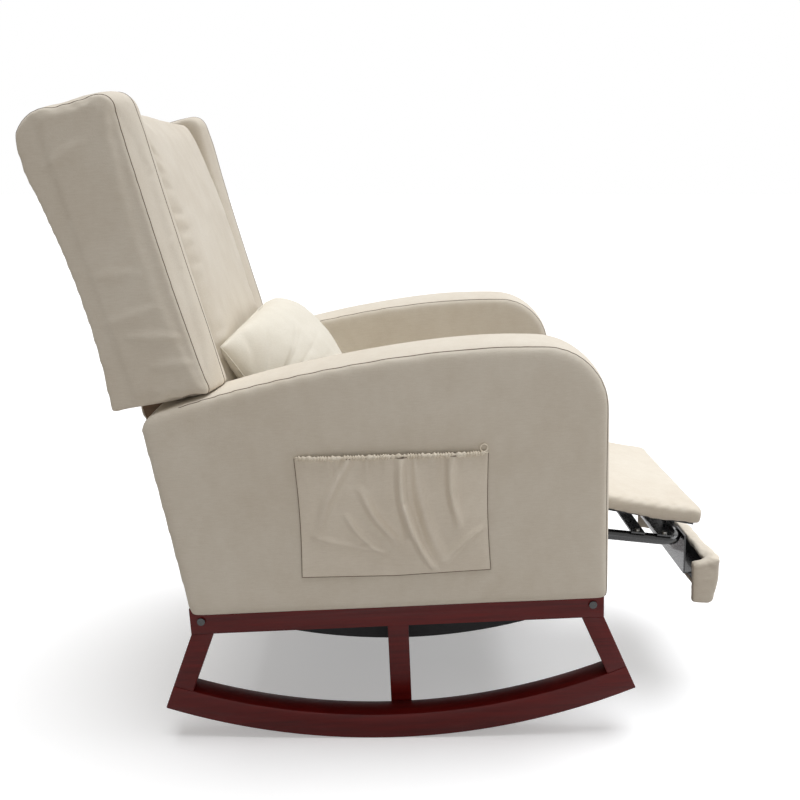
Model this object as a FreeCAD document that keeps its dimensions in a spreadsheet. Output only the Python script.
import FreeCAD, Part
import math
import os
import Sketcher
from FreeCAD import Vector

# A wing-back rocking recliner: a hardwood rocker base, an upholstered seat with two arms,
# a reclining wing back, a loose lumbar pillow and a pull-out footrest on a bent steel tube.
# Frame: +X is the way the sitter faces, +Y the sitter's left, +Z up.  The origin is on the
# floor, midway between the runners and midway along them.  All lengths are millimetres.

doc = FreeCAD.newDocument("WingRocker")
sheet = doc.addObject("Spreadsheet::Sheet", "Sizes")

SIZES = [
    # whole seat
    ("overall_width", 700, "outside of one arm to the outside of the other"),
    ("body_bottom", 256, "floor to the underside of the upholstery"),
    ("soft_gap", 0.4, "clearance round soft pieces"),
    ("running_gap", 0.05, "radial clearance of a shaft in a hole"),
    # rocker base
    ("runner_radius", 1100, "radius of the runner's rolling face"),
    ("runner_height", 44, "height of the runner's section"),
    ("base_thick", 45, "thickness of runner, leg and rail across the chair"),
    ("base_recess", 35, "base set in from the arm's outer face"),
    ("rail_half", 345, "half the length of the base rail"),
    ("rail_height", 46, "height of the base rail"),
    ("leg_width", 37, "level width of a leg"),
    ("leg_run", 0.416, "how far a leg splays for each unit of drop"),
    ("post_width", 36, "middle post along the chair"),
    ("post_thick", 24, "middle post across the chair"),
    ("stretcher_thick", 24, "cross stretcher along the chair"),
    ("front_stretcher_in", 69, "front stretcher behind the front end of the rail"),
    ("rear_stretcher_in", 27, "rear stretcher before the rear end of the rail"),
    ("bolt_radius", 3, "base bolt shank"),
    ("bolt_head_radius", 6.5, "base bolt head"),
    ("bolt_head_thick", 2.5, "base bolt head"),
    ("bolt_length", 34, "base bolt shank in the wood"),
    # arms
    ("arm_width", 115, "width of an arm"),
    ("arm_front", 343, "front of the arm from the middle"),
    ("arm_rear_foot", 336, "rear of the arm at its foot"),
    ("arm_rear_reach", 384, "rear of the arm at its top"),
    ("arm_rear_height", 574, "height of the rear corner"),
    ("arm_top", 677, "height of the arm's side seam"),
    ("arm_crown", 10, "rise of the arm's top between its seams"),
    ("arm_bend", 102, "size of the round front corner"),
    ("arm_bend_rise", 26.5, "how far the round front corner stands out from its chord"),
    ("arm_fall", 240, "front of the arm back to where its top starts to fall"),
    ("arm_heel", 23, "round over the arm's rear corner"),
    ("arm_board", 18, "thickness of the arm's inner board"),
    ("arm_padding", 28, "padding round the arm's inner board"),
    # pocket
    ("pocket_front", 155, "front edge of the side pocket"),
    ("pocket_rear", 150, "rear edge of the side pocket"),
    ("pocket_bottom", 321, "lower edge of the side pocket"),
    ("pocket_top", 516, "gathered upper edge of the side pocket"),
    ("pocket_bulge", 16, "how far the pocket stands out"),
    ("pocket_cloth", 1.5, "pocket cloth"),
    ("pocket_hem", 9, "flat hem round the pocket"),
    # seat
    ("side_rail_thick", 22, "seat side rail across the chair"),
    ("side_rail_low", 300, "underside of the seat side rail"),
    ("side_rail_high", 384, "top of the seat side rail"),
    ("front_rail_front", 306, "front face of the seat front rail"),
    ("front_rail_low", 346, "underside of the seat front rail"),
    ("seat_rail_thick", 22, "front and rear rails along the chair"),
    ("rear_rail_rear", 262, "rear face of the seat rear rail"),
    ("spring_height", 403, "middle of the seat springs"),
    ("spring_wire", 1.9, "radius of the spring wire"),
    ("seat_spring_width", 46, "width of a seat spring's loops"),
    ("corner_block", 34, "side of a seat corner block"),
    ("cushion_front", 307, "front of the seat cushion"),
    ("cushion_rear", 230, "rear of the seat cushion"),
    ("cushion_round", 16, "round of the seat cushion's edges"),
    ("cushion_edge", 8, "how far a cushion's ends are drawn in"),
    ("cushion_high", 468, "top of the seat cushion at its border"),
    ("cushion_crown", 12, "rise of the seat cushion in the middle"),
    ("rear_panel_rear", 346, "rear face of the lower rear panel"),
    ("rear_panel_high", 352, "top of the lower rear panel"),
    ("panel_thick", 6, "upholstered panel"),
    ("cover_drop", 128, "depth of the sagging underside cover"),
    ("cover_half", 200, "half the width of the underside cover's sag"),
    ("cover_sag", 27, "round of the underside cover's lowest part"),
    ("cover_slope", 28, "how far the underside cover's rear wall leans back"),
    ("cover_cloth", 2, "underside cover cloth"),
    # back
    ("pivot_reach", 300, "back pivot behind the middle"),
    ("pivot_height", 330, "back pivot above the floor"),
    ("pin_radius", 5, "back pivot pin"),
    ("back_lean", 13.8, "lean of the back from upright, degrees"),
    ("back_top", 746, "pivot to the top of the back, along the back"),
    ("back_rear", 50, "rear face of the back behind the pivot line"),
    ("back_face", 100, "front face of the back cushion before the pivot line, at its foot"),
    ("back_face_top", 86, "front face of the back cushion before the pivot line, at its top"),
    ("back_cushion_low", 118, "pivot to the foot of the back cushion"),
    ("back_top_drop", 3, "top of the back cushion below the wings' tops"),
    ("fill_wall", 5, "cover and firm layer round a cushion's light fill"),
    ("back_crown", 8, "rise of the back cushion in the middle"),
    ("post_front", 9, "front of the back frame behind the pivot line"),
    ("back_post_width", 30, "back frame post across the chair"),
    ("back_post_low", 100, "foot of the back frame post"),
    ("back_frame_top", 688, "top of the back frame"),
    ("back_rail_height", 48, "height of a back frame rail"),
    ("back_spring_width", 44, "width of a back spring's loops"),
    ("bracket_thick", 4, "steel back bracket"),
    ("wing_outer", 338, "outer face of a wing from the middle"),
    ("wing_front", 97, "wing's side seam before the pivot line"),
    ("wing_roll", 15, "roll of the wing before its side seam"),
    ("wing_clear", 44, "foot of the wing above the arm's rear corner"),
    ("wing_dip", 9, "wing's front foot below its rear foot"),
    ("wing_shoulder", 66, "length of the round over the wing's rear top corner"),
    ("wing_tip", 22, "size of the round front top corner of a wing"),
    ("wing_board", 12, "plywood board in a wing"),
    ("wing_padding", 26, "padding round the wing's board"),
    # pillow
    ("pillow_in", 9, "pillow's end inboard of the arm"),
    ("pillow_height", 272, "height of the pillow"),
    ("pillow_front", 62, "pillow before its seam plane"),
    ("pillow_back", 72, "pillow behind its seam plane"),
    ("pillow_sweep", 34, "how far the pillow's ends sit behind its middle"),
    ("pillow_lean", 32, "lean of the pillow from upright, degrees"),
    ("pillow_reach", 169.2, "pillow's middle behind the chair's middle"),
    ("pillow_rise", 608, "pillow's middle above the floor"),
    # footrest
    ("foot_reach", 510, "front bar of the footrest tube from the middle"),
    ("foot_height", 282, "front bar of the footrest tube above the floor"),
    ("foot_slope", 8.7, "slope of the footrest tube, degrees"),
    ("tube_radius", 9.5, "footrest tube"),
    ("tube_wall", 1.5, "wall of the footrest tube"),
    ("tube_in", 35, "tube's leg inboard of the seat side rail"),
    ("tube_bend", 30, "bend radius of the tube"),
    ("tube_leg", 452, "length of a leg behind the front bar"),
    ("sleeve_wall", 2.5, "wall of the guide sleeve"),
    ("sleeve_front", 362, "front bar back to the guide sleeve's mouth"),
    ("sleeve_length", 110, "length of the guide sleeve"),
    ("crossbar_back", 66, "front bar back to the cross bar"),
    ("crossbar_width", 25, "cross bar"),
    ("plate_back", 14, "front bar back to the front plate"),
    ("plate_width", 30, "front plate"),
    ("steel_thick", 3, "flat steel of the footrest"),
    ("pad_half", 203, "half the width of the footrest pad"),
    ("pad_slope", 12.7, "slope of the footrest pad, degrees"),
    ("pad_rear", 162, "pad behind the front bar, along the pad"),
    ("pad_front", 24, "pad before the front bar, along the pad"),
    ("pad_low", 39, "underside of the pad above the front bar"),
    ("pad_thick", 28, "thickness of the pad at its border"),
    ("pad_crown", 5, "rise of the pad in the middle"),
    ("pad_board", 9, "plywood board under the pad"),
    ("pad_bracket_y", 105, "pad bracket from the middle"),
    ("pad_bracket_wide", 24, "pad bracket across the chair"),
    ("apron_half", 194, "half the width of the apron"),
    ("apron_front", 580, "front of the apron from the middle"),
    ("apron_high", 253, "top of the apron"),
    ("apron_low", 162, "foot of the apron"),
    ("apron_lean", 9, "how far the apron's foot sits back"),
    ("apron_wall", 22, "front wall of the apron"),
    ("apron_end", 14, "end wall of the apron"),
    ("apron_end_back", 48, "length of the apron's end walls"),
    ("apron_plate_low", 219, "foot of the plate that carries the apron"),
]


class Dim:
    """A size together with the spreadsheet expression that gives it."""

    def __init__(self, text, value):
        self.text = text
        self.value = value

    def __add__(self, other):
        other = as_dim(other)
        return Dim(f"({self.text} + {other.text})", self.value + other.value)

    def __sub__(self, other):
        other = as_dim(other)
        return Dim(f"({self.text} - {other.text})", self.value - other.value)

    def __mul__(self, other):
        other = as_dim(other)
        return Dim(f"({self.text} * {other.text})", self.value * other.value)

    def __truediv__(self, other):
        other = as_dim(other)
        return Dim(f"({self.text} / {other.text})", self.value / other.value)

    def __radd__(self, other):
        return as_dim(other) + self

    def __rsub__(self, other):
        return as_dim(other) - self

    def __rmul__(self, other):
        return as_dim(other) * self

    def __neg__(self):
        return Dim(f"(-1 * {self.text})", -self.value)


def as_dim(number):
    return number if isinstance(number, Dim) else Dim(f"({number})", float(number))


def sine(angle):
    return Dim(f"sin({angle.text})", math.sin(math.radians(angle.value)))


def cosine(angle):
    return Dim(f"cos({angle.text})", math.cos(math.radians(angle.value)))


class Sizes:
    """The spreadsheet's cells, read by name."""


for row, (alias, number, note) in enumerate(SIZES, start=1):
    sheet.set(f"A{row}", note)
    sheet.set(f"B{row}", str(number))
    sheet.setAlias(f"B{row}", alias)
doc.recompute()
for alias, number, note in SIZES:
    setattr(Sizes, alias, Dim(f"Sizes.{alias}", float(sheet.get(alias))))
S = Sizes

parts = []


def keep(piece, label):
    """Give a finished piece its name and put it among the parts."""
    piece.Label = label
    parts.append(piece)
    return piece


# ---------------------------------------------------------------- builders

def bind_place(piece, x, y, z, axis=None, angle=None):
    """Put a piece at x, y, z and turn it about an axis, all from the sheet."""
    if axis is not None:
        turn = FreeCAD.Rotation(axis, as_dim(angle).value)
        piece.Placement = FreeCAD.Placement(Vector(0, 0, 0), turn)
        piece.setExpression("Placement.Rotation.Angle", as_dim(angle).text)
    piece.setExpression("Placement.Base.x", as_dim(x).text)
    piece.setExpression("Placement.Base.y", as_dim(y).text)
    piece.setExpression("Placement.Base.z", as_dim(z).text)


def block(name, x, y, z):
    """A box between the given low and high values on each axis."""
    piece = doc.addObject("Part::Box", name)
    piece.setExpression("Length", (as_dim(x[1]) - x[0]).text)
    piece.setExpression("Width", (as_dim(y[1]) - y[0]).text)
    piece.setExpression("Height", (as_dim(z[1]) - z[0]).text)
    bind_place(piece, x[0], y[0], z[0])
    return piece


def cross_rod(name, radius, x, y, z):
    """A cylinder along Y, from y[0] to y[1]."""
    piece = doc.addObject("Part::Cylinder", name)
    piece.setExpression("Radius", as_dim(radius).text)
    piece.setExpression("Height", (as_dim(y[1]) - y[0]).text)
    piece.Placement = FreeCAD.Placement(Vector(0, 0, 0), FreeCAD.Rotation(Vector(1, 0, 0), -90))
    bind_place(piece, x, y[0], z)
    return piece


def cut(name, base, tool):
    piece = doc.addObject("Part::Cut", name)
    piece.Base = base
    piece.Tool = tool
    return piece


def common(name, base, tool):
    piece = doc.addObject("Part::Common", name)
    piece.Base = base
    piece.Tool = tool
    return piece


def fuse(name, pieces):
    piece = doc.addObject("Part::MultiFuse", name)
    piece.Shapes = pieces
    return piece


def group(name, pieces):
    """Identical fasteners or springs kept together as separate solids."""
    piece = doc.addObject("Part::Compound", name)
    piece.Links = pieces
    return piece


def profile_body(name, corners, y):
    """A PartDesign plate: an outline of x, z corners padded from y[0] to y[1]."""
    body = doc.addObject("PartDesign::Body", name)
    sketch = body.newObject("Sketcher::SketchObject", name + "_outline")
    plane = [f for f in body.Origin.OriginFeatures if f.Role == "XZ_Plane"][0]
    sketch.AttachmentSupport = [(plane, "")]
    sketch.MapMode = "FlatFace"
    spots = [Vector(as_dim(x).value, as_dim(z).value, 0) for x, z in corners]
    count = len(spots)
    for index in range(count):
        sketch.addGeometry(Part.LineSegment(spots[index], spots[(index + 1) % count]), False)
    for index in range(count):
        sketch.addConstraint(Sketcher.Constraint("Coincident", index, 2, (index + 1) % count, 1))
    for index, (x, z) in enumerate(corners):
        for kind, size in (("DistanceX", as_dim(x)), ("DistanceY", as_dim(z))):
            number = sketch.addConstraint(Sketcher.Constraint(kind, -1, 1, index, 1, size.value))
            sketch.setExpression(f"Constraints[{number}]", size.text)
    pad = body.newObject("PartDesign::Pad", name + "_pad")
    pad.Profile = sketch
    pad.Reversed = True
    pad.setExpression("Length", (as_dim(y[1]) - y[0]).text)
    sketch.Visibility = False
    body.Tip = pad
    bind_place(body, 0, y[0], 0)
    return body


def edge(start, end, rise, y):
    """One side of a clockwise outline at y: a line, or an arc that stands out by rise."""
    a = Vector(start[0], y, start[1])
    b = Vector(end[0], y, end[1])
    if abs(rise) < 1e-6:
        return Part.LineSegment(a, b).toShape()
    run = b - a
    side = Vector(-run.z, 0, run.x).normalize()
    middle = (a + b) * 0.5 + side * rise
    return Part.Arc(a, middle, b).toShape()


def outline(points, y):
    """A closed wire in the plane at y from (x, z, rise of the side that follows)."""
    count = len(points)
    edges = []
    for index in range(count):
        start = points[index]
        end = points[(index + 1) % count]
        edges.append(edge(start, end, start[2], y))
    return Part.Wire(edges)


def soft(name, shape, place=None):
    """A soft piece whose shape is a loft."""
    piece = doc.addObject("Part::Feature", name)
    piece.Shape = shape
    if place is not None:
        piece.Placement = place
    return piece


def loft(wires, straight=False):
    """A solid through the wires; straight keeps each stretch between two wires ruled."""
    return Part.makeLoft(wires, True, straight)


def side_span(side, low, high):
    """The low and high y of a piece that lies between low and high on one side."""
    return (low, high) if side > 0 else (-as_dim(high), -as_dim(low))


SIDES = (("left", 1), ("right", -1))

# ---------------------------------------------------------------- derived sizes

half_width = S.overall_width / 2
arm_inner = half_width - S.arm_width
base_outer = half_width - S.base_recess
base_inner = base_outer - S.base_thick
rail_low = S.body_bottom - S.rail_height
back_half = arm_inner - 2 * S.soft_gap
seat_half = arm_inner - S.soft_gap
rail_inner = arm_inner - S.side_rail_thick
front_stretcher = S.rail_half - S.front_stretcher_in
rear_stretcher = S.rail_half - S.rear_stretcher_in
tube_half = rail_inner - S.tube_in
pillow_half = arm_inner - S.pillow_in
wing_low = S.arm_rear_height - S.pivot_height + S.wing_clear
cushion_low = S.spring_height + S.spring_wire + S.soft_gap

back_turn = FreeCAD.Rotation(Vector(0, 1, 0), -S.back_lean.value)
back_place = FreeCAD.Placement(Vector(-S.pivot_reach.value, 0, S.pivot_height.value), back_turn)
foot_turn = FreeCAD.Rotation(Vector(0, 1, 0), S.foot_slope.value)
foot_place = FreeCAD.Placement(Vector(S.foot_reach.value, 0, S.foot_height.value), foot_turn)
pad_turn = FreeCAD.Rotation(Vector(0, 1, 0), S.pad_slope.value)
pad_place = FreeCAD.Placement(Vector(S.foot_reach.value, 0, S.foot_height.value), pad_turn)


def in_frame(piece, reach, height, angle, x, y, z):
    """Place a piece in a leaning frame whose origin is at reach, height."""
    turn_sin = sine(angle)
    turn_cos = cosine(angle)
    bind_place(
        piece,
        reach + turn_cos * x + turn_sin * z,
        y,
        height - turn_sin * x + turn_cos * z,
        Vector(0, 1, 0),
        angle,
    )


def leaning_block(name, frame, x, y, z):
    """A box in a leaning frame, between low and high values on its own axes."""
    piece = block(name, x, y, z)
    reach, height, angle = frame
    in_frame(piece, reach, height, angle, as_dim(x[0]), as_dim(y[0]), as_dim(z[0]))
    return piece


def leaning_body(name, frame, corners, y):
    """A PartDesign plate in a leaning frame."""
    piece = profile_body(name, corners, y)
    reach, height, angle = frame
    in_frame(piece, reach, height, angle, as_dim(0), as_dim(y[0]), as_dim(0))
    return piece


BACK_FRAME = (-S.pivot_reach, S.pivot_height, -S.back_lean)
FOOT_FRAME = (S.foot_reach, S.foot_height, S.foot_slope)
PAD_FRAME = (S.foot_reach, S.foot_height, S.pad_slope)

# ---------------------------------------------------------------- rocker base


def bolt(name, side, x, z):
    """A base bolt: a head on the outer face and a shank in the wood."""
    head_y = side_span(side, base_outer, base_outer + S.bolt_head_thick)
    shank_y = side_span(side, base_outer - S.bolt_length, base_outer)
    head = cross_rod(name + "_head", S.bolt_head_radius, x, head_y, z)
    shank = cross_rod(name + "_shank", S.bolt_radius, x, shank_y, z)
    return fuse(name, [head, shank])


def runner(label, side):
    """A curved runner, its ends cut along the legs' outer faces."""
    y = side_span(side, base_inner, base_outer)
    disc = cross_rod(label + "_disc", S.runner_radius, 0, y, S.runner_radius)
    hollow = cross_rod(label + "_hollow", S.runner_radius - S.runner_height, 0, y, S.runner_radius)
    ring = cut(label + "_ring", disc, hollow)
    reach = S.rail_half + S.leg_run * rail_low
    corners = [(-reach, 0), (reach, 0), (S.rail_half, rail_low), (-S.rail_half, rail_low)]
    blank = profile_body(label + "_blank", corners, y)
    keep(common(label, ring, blank), label)


def leg(label, side, end):
    """A splayed leg between the base rail and the top of the runner."""
    y = side_span(side, base_inner, base_outer)
    top = S.rail_half * end
    width = S.leg_width * end
    spread = S.leg_run * rail_low * end
    corners = [(top, rail_low), (top - width, rail_low), (top - width + spread, 0), (top + spread, 0)]
    if end < 0:
        corners.reverse()
    blank = profile_body(label + "_blank", corners, y)
    disc = cross_rod(label + "_disc", S.runner_radius - S.runner_height, 0, y, S.runner_radius)
    keep(common(label, blank, disc), label)


def rocker_base():
    bolts = []
    for name, side in SIDES:
        rail = block(
            "base_rail_blank_" + name,
            (-S.rail_half, S.rail_half),
            side_span(side, base_inner, base_outer),
            (rail_low, S.body_bottom),
        )
        own = []
        for end, end_name in ((1, "front"), (-1, "rear")):
            x = (S.rail_half - S.leg_width / 2) * end
            z = rail_low + S.rail_height / 2
            own.append(bolt(f"base_bolt_{name}_{end_name}", side, x, z))
        bolts += own
        bored = cut("base_rail_bored_" + name, rail, fuse("base_rail_bolts_" + name, own))
        keep(bored, "base_rail_" + name)
        runner("rocker_runner_" + name, side)
        for end, end_name in ((1, "front"), (-1, "rear")):
            leg(f"base_leg_{end_name}_{name}", side, end)
        post = block(
            "middle_post_" + name,
            (-S.post_width / 2, S.post_width / 2),
            side_span(side, base_inner - S.post_thick, base_inner),
            (S.runner_height / 4, S.body_bottom),
        )
        keep(post, "middle_post_" + name)
    for end_name, high, low in (
        ("front", front_stretcher, front_stretcher - S.stretcher_thick),
        ("rear", S.stretcher_thick - rear_stretcher, -rear_stretcher),
    ):
        label = "base_stretcher_" + end_name
        keep(block(label, (low, high), (-base_inner, base_inner), (rail_low, S.body_bottom)), label)
    keep(group("base_bolt_group", bolts), "base_bolts")


# ---------------------------------------------------------------- arms


def arm_outline(y, swell):
    """The arm seen from the side; swell lifts its top and front between the seams."""
    rear = -S.arm_rear_reach.value
    corner = S.arm_rear_height.value
    top = S.arm_top.value
    front = S.arm_front.value
    bend = S.arm_bend.value
    heel = S.arm_heel.value
    points = [
        (front + swell / 2, S.body_bottom.value, 0),
        (-S.arm_rear_foot.value, S.body_bottom.value, 0),
        (rear, corner, heel / 5),
        (rear + heel, corner + heel, heel * 0.6),
        (front - S.arm_fall.value, top + swell, heel / 10),
        (front - bend, top + swell, S.arm_bend_rise.value),
        (front + swell / 2, top - bend * 0.9, 0),
    ]
    return outline(points, y)


def arm(name, side):
    outer = half_width.value * side
    inner = arm_inner.value * side
    span = outer - inner
    crown = S.arm_crown.value
    wires = [
        arm_outline(inner, 0),
        arm_outline(inner + span * 0.5, crown),
        arm_outline(outer, 0),
    ]
    board_y = side_span(
        side,
        arm_inner + (S.arm_width - S.arm_board) / 2,
        arm_inner + (S.arm_width + S.arm_board) / 2,
    )
    pad = S.arm_padding
    corners = [
        (S.arm_front - pad, S.body_bottom),
        (S.arm_front - pad, S.arm_top - S.arm_bend),
        (S.arm_front - S.arm_bend, S.arm_top - pad),
        (S.arm_front - 2.4 * S.arm_bend, S.arm_top - pad),
        (pad - S.arm_rear_reach, S.arm_rear_height - pad),
        (pad - S.arm_rear_foot, S.body_bottom),
    ]
    board = profile_body("arm_board_" + name, corners, board_y)
    keep(board, "arm_board_" + name)
    stuffed = soft("arm_form_" + name, loft(wires))
    keep(cut("arm_upholstery_" + name, stuffed, board), "arm_upholstery_" + name)


def lens(y_face, depth, x_low, x_high, z):
    """A level D-shaped wire whose round side stands depth out from the arm's face."""
    a = Vector(x_low, y_face, z)
    b = Vector(x_high, y_face, z)
    middle = Vector((x_low + x_high) / 2, y_face - depth, z)
    return Part.Wire([Part.Arc(a, middle, b).toShape(), Part.LineSegment(b, a).toShape()])


def pocket_depths():
    """Height and bulge of the pocket's level sections, from its foot to its mouth."""
    low = S.pocket_bottom.value
    high = S.pocket_top.value
    bulge = S.pocket_bulge.value
    return [(low, 0.35 * bulge), (low + 0.3 * (high - low), 0.8 * bulge), (low + 0.75 * (high - low), bulge),
            (high, 0.8 * bulge)]


def pocket_shape(inset, thinner, lift):
    """The swell of the pocket, drawn in all round by inset and in depth by thinner."""
    face = -half_width.value
    x_low = -S.pocket_rear.value + inset
    x_high = S.pocket_front.value - inset
    wires = []
    for z, depth in pocket_depths():
        wires.append(lens(face, max(depth - thinner, 0.5), x_low, x_high, z + lift))
    return loft(wires)


def side_pocket():
    """An open-topped patch pocket on the sitter's right arm, with a gathered elastic top."""
    hem = S.pocket_hem.value
    cloth = S.pocket_cloth.value
    face = -half_width.value
    flat = Part.makeBox(
        S.pocket_rear.value + S.pocket_front.value,
        cloth,
        S.pocket_top.value - S.pocket_bottom.value,
        Vector(-S.pocket_rear.value, face - cloth, S.pocket_bottom.value),
    )
    swell = pocket_shape(hem / 2, 0, 0)
    hollow = pocket_shape(hem, cloth, cloth * 2)
    mouth = pocket_shape(hem, cloth, cloth * 6)
    front = flat.fuse(swell).cut(hollow).cut(mouth)
    keep(soft("side_pocket", front), "side_pocket")
    band = 5
    z = S.pocket_top.value
    depth = pocket_depths()[-1][1]
    x_low = -S.pocket_rear.value
    x_high = S.pocket_front.value
    outer = Part.Face(lens(face, depth + cloth, x_low, x_high, z)).extrude(Vector(0, 0, band))
    inner = Part.Face(lens(face, depth - cloth * 1.5, x_low + hem / 2, x_high - hem / 2, z))
    keep(soft("pocket_elastic", outer.cut(inner.extrude(Vector(0, 0, band)))), "pocket_elastic")


# ---------------------------------------------------------------- seat


def sinuous_spring(length, bends, width, wire_radius):
    """A sinuous spring along X from 0, in the XY plane, centred on Y."""
    pitch = length / bends
    radius = pitch / 2
    straight = width / 2 - radius
    lead = radius
    edges = []
    x = 0.0
    side = 1
    start = Vector(0, 0, 0)
    end = Vector(0, straight * side, 0)
    edges.append(Part.LineSegment(start, end).toShape())
    for index in range(bends):
        top = Vector(x + radius, side * (straight + radius), 0)
        out = Vector(x + pitch, side * straight, 0)
        edges.append(Part.Arc(end, top, out).toShape())
        x += pitch
        side = -side
        last = index == bends - 1
        end = Vector(x, 0 if last else side * straight, 0)
        edges.append(Part.LineSegment(out, end).toShape())
    path = Part.Wire(edges)
    circle = Part.Wire(Part.Circle(start, Vector(0, 1, 0), wire_radius).toShape())
    return path.makePipeShell([circle], True, True)


def springs(label, count, spread, length, bends, width, place):
    """Identical sinuous springs side by side."""
    solids = []
    for index in range(count):
        y = (index - (count - 1) / 2) * spread
        spring = sinuous_spring(length, bends, width, S.spring_wire.value)
        spring.translate(Vector(0, y, 0))
        solids.append(spring)
    keep(soft(label, Part.makeCompound(solids), place), label)


# Across a cushion: share of its half width, share of its crown, share of the draw-in at its ends.
CUSHION_SECTIONS = (
    (-1, 0, 1),
    (-0.93, 0.3, 0),
    (-0.5, 0.8, 0),
    (0, 1, 0),
    (0.5, 0.8, 0),
    (0.93, 0.3, 0),
    (1, 0, 1),
)


def cushion_loft(section, half):
    """A cushion crowned across its width and drawn in at both ends."""
    wires = [section(half.value * share, crown, ends) for share, crown, ends in CUSHION_SECTIONS]
    return loft(wires, True)


def seat_cushion_section(y, crown, ends):
    """The seat cushion seen from the side."""
    inset = ends * S.cushion_edge.value
    rear = inset - S.cushion_rear.value
    front = S.cushion_front.value - inset
    low = cushion_low.value + inset / 2
    high = S.cushion_high.value + crown * S.cushion_crown.value - inset / 2
    edge_round = S.cushion_round.value
    bulge = edge_round / 4
    points = [
        (front - edge_round, low, 0),
        (rear + edge_round, low, bulge),
        (rear, low + edge_round, 0),
        (rear, high - 1.5 * edge_round, bulge),
        (rear + edge_round, high - edge_round / 3, bulge),
        (front - edge_round, high, bulge),
        (front, high - edge_round, 0),
        (front, low + edge_round, bulge),
    ]
    return outline(points, y)


def seat():
    rail_span = (S.panel_thick - S.rear_panel_rear, S.front_rail_front - S.seat_rail_thick)
    for name, side in SIDES:
        y = side_span(side, rail_inner, arm_inner)
        blank = block("seat_side_blank_" + name, rail_span, y, (S.side_rail_low, S.side_rail_high))
        pin_y = side_span(side, rail_inner - S.bracket_thick - 10, arm_inner)
        pin = cross_rod("back_pivot_" + name, S.pin_radius, -S.pivot_reach, pin_y, S.pivot_height)
        keep(cut("seat_side_rail_" + name, blank, pin), "seat_side_rail_" + name)
        keep(pin, "back_pivot_pin_" + name)
    front = (S.front_rail_front - S.seat_rail_thick, S.front_rail_front)
    rear = (-S.rear_rail_rear, S.seat_rail_thick - S.rear_rail_rear)
    high = S.spring_height - S.spring_wire
    front_rail = block("seat_front_rail", front, (-arm_inner, arm_inner), (S.front_rail_low, high))
    keep(front_rail, "seat_front_rail")
    rear_rail = block("seat_rear_rail", rear, (-rail_inner, rail_inner), (S.side_rail_low, high))
    keep(rear_rail, "seat_rear_rail")
    blocks = []
    for end_name, x, turns in (
        ("front", S.front_rail_front - S.seat_rail_thick, {"left": 180, "right": 90}),
        ("rear", S.seat_rail_thick - S.rear_rail_rear, {"left": -90, "right": 0}),
    ):
        for name, side in SIDES:
            corner = doc.addObject("Part::Wedge", f"corner_{end_name}_{name}")
            corner.Xmin, corner.Ymin, corner.Zmin, corner.X2min, corner.Z2min = 0, 0, 0, 0, 0
            corner.X2max = 0.01
            for field in ("Xmax", "Ymax", "Zmax", "Z2max"):
                corner.setExpression(field, S.corner_block.text)
            turn = FreeCAD.Rotation(Vector(0, 0, 1), turns[name])
            corner.Placement = FreeCAD.Placement(Vector(0, 0, 0), turn)
            bind_place(corner, x, rail_inner * side, S.front_rail_low)
            blocks.append(corner)
    keep(group("corner_block_group", blocks), "seat_corner_blocks")
    start = S.seat_rail_thick.value / 2 - S.rear_rail_rear.value
    length = S.front_rail_front.value - S.seat_rail_thick.value / 2 - start
    place = FreeCAD.Placement(Vector(start, 0, S.spring_height.value), FreeCAD.Rotation())
    width = S.seat_spring_width.value
    springs("seat_springs", 4, rail_inner.value / 2.2, length, 12, width, place)
    keep(soft("seat_cushion", cushion_loft(seat_cushion_section, seat_half)), "seat_cushion")
    panel_x = (-S.rear_panel_rear, S.panel_thick - S.rear_panel_rear)
    panel = block("rear_lower_panel", panel_x, (-arm_inner, arm_inner), (S.body_bottom, S.rear_panel_high))
    keep(panel, "rear_lower_panel")


def cover_trough(inset, top):
    """The sagging part of the underside cover, drawn in all round by inset."""
    half = S.cover_half.value - inset
    front = front_stretcher.value - S.stretcher_thick.value - inset
    rear = inset - S.cover_half.value
    sag = S.cover_sag.value
    low = S.body_bottom.value - S.cover_drop.value + sag + inset
    points = [
        (front - S.cushion_edge.value, low, sag),
        (rear, low, 0),
        (rear - S.cover_slope.value, top, 0),
        (front - S.cover_cloth.value, top, 0),
    ]
    return Part.Face(outline(points, -half)).extrude(Vector(0, 2 * half, 0))


def underside_cover():
    """The black cloth under the seat, which sags in an arc between the base stretchers."""
    high = S.body_bottom.value
    cloth = S.cover_cloth.value
    bag = cover_trough(0, high).cut(cover_trough(cloth, high + cloth))
    front = front_stretcher.value - S.stretcher_thick.value
    rear = S.stretcher_thick.value - rear_stretcher.value
    reach = base_inner.value - S.post_thick.value - cloth
    skirt = Part.makeBox(front - rear, 2 * reach, cloth, Vector(rear, -reach, high - cloth))
    half = S.cover_half.value - cloth
    mouth_rear = cloth - S.cover_half.value - S.cover_slope.value
    corner = Vector(mouth_rear, -half, high - 2 * cloth)
    mouth = Part.makeBox(front - 2 * cloth - mouth_rear, 2 * half, 3 * cloth, corner)
    keep(soft("underside_cover", skirt.fuse(bag).cut(mouth)), "underside_cover")


# ---------------------------------------------------------------- guide sleeves


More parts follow.
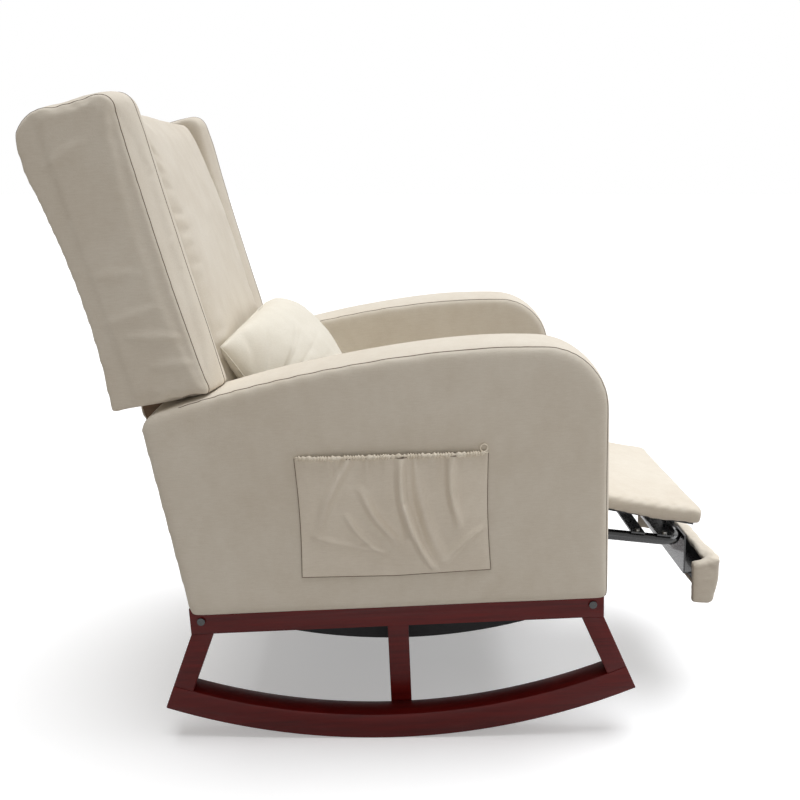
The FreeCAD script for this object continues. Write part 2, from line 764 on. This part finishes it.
def guide_sleeves():
    """Steel sleeves on the seat side rails in which the footrest tube slides."""
    for name, side in SIDES:
        bore = S.tube_radius + S.running_gap
        outer = bore + S.sleeve_wall
        y = tube_half * side
        tubes = []
        for part_name, radius, extra in (("shell", outer, 0), ("bore", bore, 1)):
            rod = doc.addObject("Part::Cylinder", f"sleeve_{part_name}_{name}")
            rod.setExpression("Radius", radius.text)
            rod.setExpression("Height", (S.sleeve_length + 2 * extra).text)
            lean = 90 + S.foot_slope
            turn_sin = sine(S.foot_slope)
            turn_cos = cosine(S.foot_slope)
            along = -(S.sleeve_front + S.sleeve_length + extra)
            bind_place(
                rod,
                S.foot_reach + turn_cos * along,
                y,
                S.foot_height - turn_sin * along,
                Vector(0, 1, 0),
                lean,
            )
            tubes.append(rod)
        arm_y = side_span(side, tube_half, rail_inner)
        lug_x = (-(S.sleeve_front + S.sleeve_length * 0.75), -(S.sleeve_front + S.sleeve_length * 0.25))
        lug = leaning_block("sleeve_lug_" + name, FOOT_FRAME, lug_x, arm_y, (-outer * 0.7, outer * 0.7))
        whole = cut("guide_sleeve_" + name, fuse("sleeve_body_" + name, [tubes[0], lug]), tubes[1])
        keep(whole, "guide_sleeve_" + name)


# ---------------------------------------------------------------- back


def wing_outline(y, swell, rise):
    """A wing seen from the side, in the back's own frame."""
    foot = wing_low.value
    top = S.back_top.value + rise
    rear = -S.back_rear.value
    front = S.wing_front.value + swell
    tip = S.wing_tip.value
    waist = tip / 6
    points = [
        (front, foot - S.wing_dip.value, 0),
        (rear - tip / 2, foot + tip / 4, -waist),
        (rear + tip / 4, foot + (top - foot) * 0.39, -waist),
        (rear - tip / 4, foot + (top - foot) * 0.8, waist),
        (rear, top - tip, tip / 2),
        (rear + S.wing_shoulder.value, top, 0),
        (front - tip, top, tip / 3),
        (front + tip / 4, top - tip, -waist),
    ]
    return outline(points, y)


def wing(name, side):
    outer = S.wing_outer.value * side
    inner = back_half.value * side
    roll = S.wing_roll.value
    wires = [
        wing_outline(inner, roll * 0.6, -roll / 5),
        wing_outline((inner + outer) / 2, roll, roll / 5),
        wing_outline(outer, 0, 0),
    ]
    form = soft("wing_form_" + name, loft(wires), back_place)

    def inner_body(part_name, front_inset, other_inset, y):
        corners = [
            (S.wing_front - front_inset, wing_low + other_inset),
            (S.wing_front - front_inset, S.back_top - other_inset),
            (other_inset - S.back_rear, S.back_top - 1.5 * other_inset),
            (other_inset - S.back_rear, wing_low + other_inset),
        ]
        return leaning_body(part_name, BACK_FRAME, corners, side_span(side, y[0], y[1]))

    board_face = back_half + S.wing_board
    board = inner_body("wing_board_" + name, S.wing_padding, S.wing_padding, (back_half, board_face))
    keep(board, "wing_board_" + name)
    fill_y = (board_face + S.fill_wall, S.wing_outer - S.fill_wall)
    fill_inset = S.fill_wall + S.wing_tip / 2
    fill = inner_body("wing_fill_" + name, S.fill_wall, fill_inset, fill_y)
    keep(cut("wing_" + name, form, fuse("wing_inside_" + name, [board, fill])), "wing_" + name)


def back_cushion_section(y, crown, ends):
    """The back cushion seen from the side, in the back's own frame."""
    inset = ends * S.cushion_edge.value
    bulge = crown * S.back_crown.value
    face = S.back_face.value + bulge - inset
    face_top = S.back_face_top.value + bulge / 2 - inset
    rear = S.soft_gap.value - S.post_front.value
    over = S.panel_thick.value - S.back_rear.value
    top = S.back_top.value - S.back_top_drop.value - inset / 2
    shelf = S.back_frame_top.value + S.soft_gap.value
    foot = S.back_cushion_low.value + inset
    middle = foot + (top - foot) * 0.6
    edge_round = S.cushion_round.value
    points = [
        (face - edge_round, foot, 0),
        (rear, foot, 0),
        (rear, shelf, 0),
        (over, shelf, 0),
        (over, top, 0),
        (face_top - edge_round, top, edge_round / 4),
        (face_top, top - edge_round, edge_round / 3),
        (face + edge_round / 4, middle, edge_round / 8),
        (face, foot + edge_round, edge_round / 4),
    ]
    return outline(points, y)


def back_cushion():
    """A crowned cushion between the wings, with a hollow where its light fill is."""
    form = cushion_loft(back_cushion_section, back_half)
    wall = S.fill_wall.value
    foot = S.back_cushion_low.value + wall
    top = S.back_top.value - S.back_top_drop.value - wall
    rear = wall - S.post_front.value
    over = S.panel_thick.value - S.back_rear.value + wall
    shelf = S.back_frame_top.value + wall
    face = S.back_face.value - wall
    face_top = S.back_face_top.value - wall
    cut_off = S.cushion_round.value / 2
    points = [
        (face - cut_off, foot, 0),
        (rear, foot, 0),
        (rear, shelf, 0),
        (over, shelf, 0),
        (over, top, 0),
        (face_top - cut_off, top, 0),
        (face_top, top - cut_off, 0),
        (face, foot + cut_off, 0),
    ]
    widest_full_share = CUSHION_SECTIONS[-2][0]
    half = back_half.value * widest_full_share
    fill = Part.Face(outline(points, -half)).extrude(Vector(0, 2 * half, 0))
    keep(soft("back_cushion", form.cut(fill), back_place), "back_cushion")


def back():
    rear_face = S.panel_thick - S.back_rear
    front_face = -S.post_front
    for name, side in SIDES:
        y = side_span(side, back_half - S.back_post_width, back_half)
        post = leaning_block(
            "back_post_" + name, BACK_FRAME, (rear_face, front_face), y, (S.back_post_low, S.back_frame_top)
        )
        keep(post, "back_post_" + name)
        bracket_y = side_span(
            side, back_half - S.back_post_width - S.bracket_thick, back_half - S.back_post_width
        )
        eye = 3 * S.pin_radius
        corners = [
            (-eye, -eye),
            (eye, -eye),
            (eye, 1.6 * eye),
            (front_face, 5 * eye),
            (front_face, 18 * eye),
            (rear_face, 18 * eye),
            (rear_face, 6.6 * eye),
            (-eye, 2.7 * eye),
        ]
        plate = leaning_body("back_bracket_plate_" + name, BACK_FRAME, corners, bracket_y)
        hole_y = side_span(
            side, back_half - S.back_post_width - S.bracket_thick - 1, back_half - S.back_post_width + 1
        )
        hole = cross_rod(
            "back_bracket_hole_" + name, S.pin_radius + S.running_gap, -S.pivot_reach, hole_y, S.pivot_height
        )
        keep(cut("back_bracket_" + name, plate, hole), "back_bracket_" + name)
    inner = back_half - S.back_post_width
    height = S.back_rail_height
    middle = (S.back_post_low + S.back_frame_top) / 2
    for name, low in (
        ("lower", S.back_post_low),
        ("middle", middle - height / 2),
        ("upper", S.back_frame_top - height),
    ):
        reach = inner - S.bracket_thick if name == "lower" else inner
        rail = leaning_block(
            "back_rail_" + name, BACK_FRAME, (rear_face, front_face), (-reach, reach), (low, low + height)
        )
        keep(rail, "back_rail_" + name)
    back_cushion()
    panel = leaning_block(
        "outer_back_panel",
        BACK_FRAME,
        (-S.back_rear, rear_face),
        (-back_half, back_half),
        (6 * S.pin_radius, S.back_top - S.back_top_drop),
    )
    keep(panel, "outer_back_panel")
    gap_low = S.back_post_low.value + S.back_rail_height.value + S.spring_wire.value
    gap_high = middle.value - height.value / 2 - S.spring_wire.value
    spring_x = -S.post_front.value - S.spring_wire.value - 6
    turn = FreeCAD.Rotation(Vector(0, 1, 0), -90)
    place = back_place.multiply(FreeCAD.Placement(Vector(spring_x, 0, gap_low), turn))
    width = S.back_spring_width.value
    springs("back_springs", 4, inner.value / 2.2, gap_high - gap_low, 7, width, place)
    for name, side in SIDES:
        wing(name, side)


# ---------------------------------------------------------------- pillow


# Along the pillow: share of its half length, share of its depth, share of its height.
PILLOW_SECTIONS = (
    (-1, 0.14, 0.84),
    (-0.82, 0.62, 0.93),
    (-0.45, 0.93, 0.99),
    (0, 1, 1),
    (0.45, 0.93, 0.99),
    (0.82, 0.62, 0.93),
    (1, 0.14, 0.84),
)


def pillow_form(size):
    """The pillow's form, thin at its ends, which sweep back towards the wings."""
    half = S.pillow_height.value / 2 * size
    wires = []
    for share, depth, tall in PILLOW_SECTIONS:
        sweep = -S.pillow_sweep.value * share * share * size
        front = S.pillow_front.value * depth * size
        rear = S.pillow_back.value * depth * size
        high = half * tall
        bulge = high * 0.09
        points = [
            (sweep, -high, bulge),
            (sweep - 0.84 * rear, -0.5 * high, 0.16 * rear),
            (sweep - 0.84 * rear, 0.5 * high, bulge),
            (sweep, high, bulge),
            (sweep + 0.84 * front, 0.5 * high, 0.16 * front),
            (sweep + 0.84 * front, -0.5 * high, bulge),
        ]
        wires.append(outline(points, pillow_half.value * share * size))
    return loft(wires)


def pillow():
    """A plump loose pillow, with a hollow where its light fill is."""
    turn = FreeCAD.Rotation(Vector(0, 1, 0), -S.pillow_lean.value)
    place = FreeCAD.Placement(Vector(-S.pillow_reach.value, 0, S.pillow_rise.value), turn)
    fill = 1 - S.fill_wall.value / S.pillow_front.value
    form = pillow_form(1).cut(pillow_form(fill))
    keep(soft("lumbar_pillow", form, place), "lumbar_pillow")


# ---------------------------------------------------------------- footrest


def footrest_tube():
    """A U of round tube: two sliding legs joined by the front bar, about which the pad turns."""
    half = tube_half.value
    bend = S.tube_bend.value
    leg_length = S.tube_leg.value
    chord = bend * (1 - math.sqrt(0.5))

    def swept(radius):
        corners = [
            Part.LineSegment(Vector(-leg_length, half, 0), Vector(-bend, half, 0)),
            Part.Arc(
                Vector(-bend, half, 0), Vector(-chord, half - chord, 0), Vector(0, half - bend, 0)
            ),
            Part.LineSegment(Vector(0, half - bend, 0), Vector(0, bend - half, 0)),
            Part.Arc(
                Vector(0, bend - half, 0), Vector(-chord, chord - half, 0), Vector(-bend, -half, 0)
            ),
            Part.LineSegment(Vector(-bend, -half, 0), Vector(-leg_length, -half, 0)),
        ]
        path = Part.Wire([part.toShape() for part in corners])
        ring = Part.Wire(Part.Circle(Vector(-leg_length, half, 0), Vector(1, 0, 0), radius).toShape())
        return path.makePipeShell([ring], True, False)

    radius = S.tube_radius.value
    tube = swept(radius).cut(swept(radius - S.tube_wall.value))
    keep(soft("footrest_tube", tube, foot_place), "footrest_tube")


def footrest_steel():
    """Flat steel that ties the tube's legs together, and the plate that carries the apron."""
    top = S.tube_radius
    span = (-(tube_half + top), tube_half + top)
    lift = (top, top + S.steel_thick)
    bar_x = (-(S.crossbar_back + S.crossbar_width), -S.crossbar_back)
    keep(leaning_block("footrest_cross_bar", FOOT_FRAME, bar_x, span, lift), "footrest_cross_bar")
    plate_x = (-(S.plate_back + S.plate_width), -S.plate_back)
    keep(leaning_block("footrest_front_plate", FOOT_FRAME, plate_x, span, lift), "footrest_front_plate")
    heads = []
    for name, side in SIDES:
        for part_name, x in (
            ("bar", -(S.crossbar_back + S.crossbar_width / 2)),
            ("plate", -(S.plate_back + S.plate_width / 2)),
        ):
            head = doc.addObject("Part::Cylinder", f"footrest_bolt_{part_name}_{name}")
            head.setExpression("Radius", (S.tube_radius / 2).text)
            head.setExpression("Height", S.steel_thick.text)
            reach, height, angle = FOOT_FRAME
            in_frame(head, reach, height, angle, x, tube_half * side, top + S.steel_thick)
            heads.append(head)
    keep(group("footrest_bolt_group", heads), "footrest_bolts")
    plate_low = S.apron_plate_low
    front = S.foot_reach + S.tube_radius
    wide = (-tube_half, tube_half)
    upright = block(
        "apron_plate_upright",
        (front, front + S.steel_thick),
        wide,
        (plate_low, S.foot_height + S.tube_radius),
    )
    shelf_x = (front, S.apron_front - S.apron_wall)
    shelf = block("apron_plate_shelf", shelf_x, wide, (plate_low, plate_low + S.steel_thick))
    carrier = fuse("apron_plate_blank", [upright, shelf])
    notches = []
    for name, side in SIDES:
        low = S.pad_bracket_y - S.pad_bracket_wide
        high = S.pad_bracket_y + S.pad_bracket_wide
        notch = block(
            "apron_notch_" + name,
            (front - 1, front + S.steel_thick + 1),
            side_span(side, low, high),
            (S.foot_height - 2.2 * S.tube_radius, S.foot_height + 3 * S.tube_radius),
        )
        notches.append(notch)
    keep(cut("apron_plate", carrier, fuse("apron_notches", notches)), "apron_plate")


def apron_outline(y, inset):
    """The apron seen from the side."""
    front = S.apron_front.value - inset
    high = S.apron_high.value - inset
    low = S.apron_low.value + inset
    rear = S.apron_front.value - S.apron_end_back.value
    lean = S.apron_lean.value
    points = [
        (front - 2 * lean, low, 0),
        (rear, low + lean / 2, 0),
        (rear, high - lean, 0),
        (front - S.apron_wall.value, high - lean / 3, lean / 3),
        (front - lean / 2, high, lean / 4),
        (front, high - lean / 2, lean / 3),
        (front - lean, low + lean, lean / 4),
    ]
    return outline(points, y)


def apron():
    """The upholstered front of the footrest: a padded wall with a short return at each end."""
    half = S.apron_half.value
    draw_in = S.steel_thick.value
    wires = []
    for share, inset in ((-1, draw_in), (-0.95, 0), (0, 0), (0.95, 0), (1, draw_in)):
        wires.append(apron_outline(half * share, inset))
    end = half - S.apron_end.value
    rear = S.apron_front.value - 2 * S.apron_end_back.value
    high = S.apron_high.value
    inside = S.apron_front.value - S.apron_wall.value - rear
    well = Part.makeBox(inside, 2 * end, 2 * high, Vector(rear, -end, 0))
    form = soft("apron_form", loft(wires, True).cut(well))
    board = block(
        "apron_board",
        (S.apron_front - S.apron_wall, S.apron_front - S.apron_wall + S.pad_board),
        (S.apron_end - S.apron_half, S.apron_half - S.apron_end),
        (S.apron_low + S.apron_end, S.apron_high - S.apron_end),
    )
    keep(board, "apron_board")
    keep(cut("footrest_apron", form, board), "footrest_apron")


def pad_section(y, crown, ends):
    """The footrest pad seen from the side, in the pad's own frame."""
    inset = ends * S.cushion_edge.value / 2
    rear = inset - S.pad_rear.value
    front = S.pad_front.value - inset
    low = S.pad_low.value
    high = low + S.pad_thick.value + crown * S.pad_crown.value - inset / 2
    edge_round = S.pad_thick.value / 3
    bulge = edge_round / 4
    points = [
        (front - edge_round / 3, low, 0),
        (rear + edge_round / 3, low, 0),
        (rear, low + edge_round / 3, 0),
        (rear, high - edge_round, bulge),
        (rear + edge_round, high, 0),
        (front - edge_round, high, bulge),
        (front, high - edge_round, 0),
        (front, low + edge_round / 3, 0),
    ]
    return outline(points, y)


def pad_bracket(name, side):
    """A steel bracket under the pad that turns on the tube's front bar."""
    wide = S.pad_bracket_wide
    y = side_span(side, S.pad_bracket_y - wide / 2, S.pad_bracket_y + wide / 2)
    thin = 0.7 * S.tube_radius
    ring = cross_rod("bracket_ring_" + name, 1.4 * S.tube_radius, S.foot_reach, y, S.foot_height)
    neck = leaning_block("bracket_neck_" + name, PAD_FRAME, (-thin, thin), y, (0, S.pad_low))
    foot_x = (-3 * S.tube_radius, 1.2 * S.tube_radius)
    foot = leaning_block(
        "bracket_foot_" + name, PAD_FRAME, foot_x, y, (S.pad_low - S.steel_thick, S.pad_low)
    )
    hole_y = side_span(side, S.pad_bracket_y - wide, S.pad_bracket_y + wide)
    hole_radius = S.tube_radius + S.running_gap
    hole = cross_rod("bracket_hole_" + name, hole_radius, S.foot_reach, hole_y, S.foot_height)
    bracket = cut("pad_bracket_" + name, fuse("bracket_body_" + name, [ring, neck, foot]), hole)
    keep(bracket, "pad_bracket_" + name)


def footrest_pad():
    form = soft("pad_form", cushion_loft(pad_section, S.pad_half), pad_place)
    margin = S.pad_board + S.steel_thick
    board = leaning_block(
        "footrest_board",
        PAD_FRAME,
        (margin - S.pad_rear, S.pad_front - margin),
        (margin - S.pad_half, S.pad_half - margin),
        (S.pad_low, S.pad_low + S.pad_board),
    )
    keep(board, "footrest_board")
    keep(cut("footrest_pad", form, board), "footrest_pad")
    for name, side in SIDES:
        pad_bracket(name, side)


# ---------------------------------------------------------------- build and write

rocker_base()
for arm_name, arm_side in SIDES:
    arm(arm_name, arm_side)
side_pocket()
seat()
underside_cover()
guide_sleeves()
back()
pillow()
footrest_tube()
footrest_steel()
apron()
footrest_pad()
doc.recompute()

faults = []
for item in doc.Objects:
    if "Invalid" in item.State or "Error" in item.State:
        faults.append(f"{item.Name}: {item.State}")
for piece in parts:
    if piece.Shape.isNull() or not piece.Shape.isValid():
        faults.append(f"{piece.Label}: bad shape")
    elif not piece.Shape.Solids:
        faults.append(f"{piece.Label}: no solid")
if faults:
    raise RuntimeError("; ".join(faults))

os.makedirs("parts", exist_ok=True)
for piece in parts:
    box = piece.Shape.BoundBox
    print(
        f"{piece.Label:26s} solids {len(piece.Shape.Solids)} volume {piece.Shape.Volume / 1000:9.1f} cm3"
        f"  x {box.XMin:7.1f} {box.XMax:7.1f}  y {box.YMin:7.1f} {box.YMax:7.1f}"
        f"  z {box.ZMin:7.1f} {box.ZMax:7.1f}"
    )
    piece.Shape.exportStep(f"parts/{piece.Label}.step")
print(len(parts), "parts")
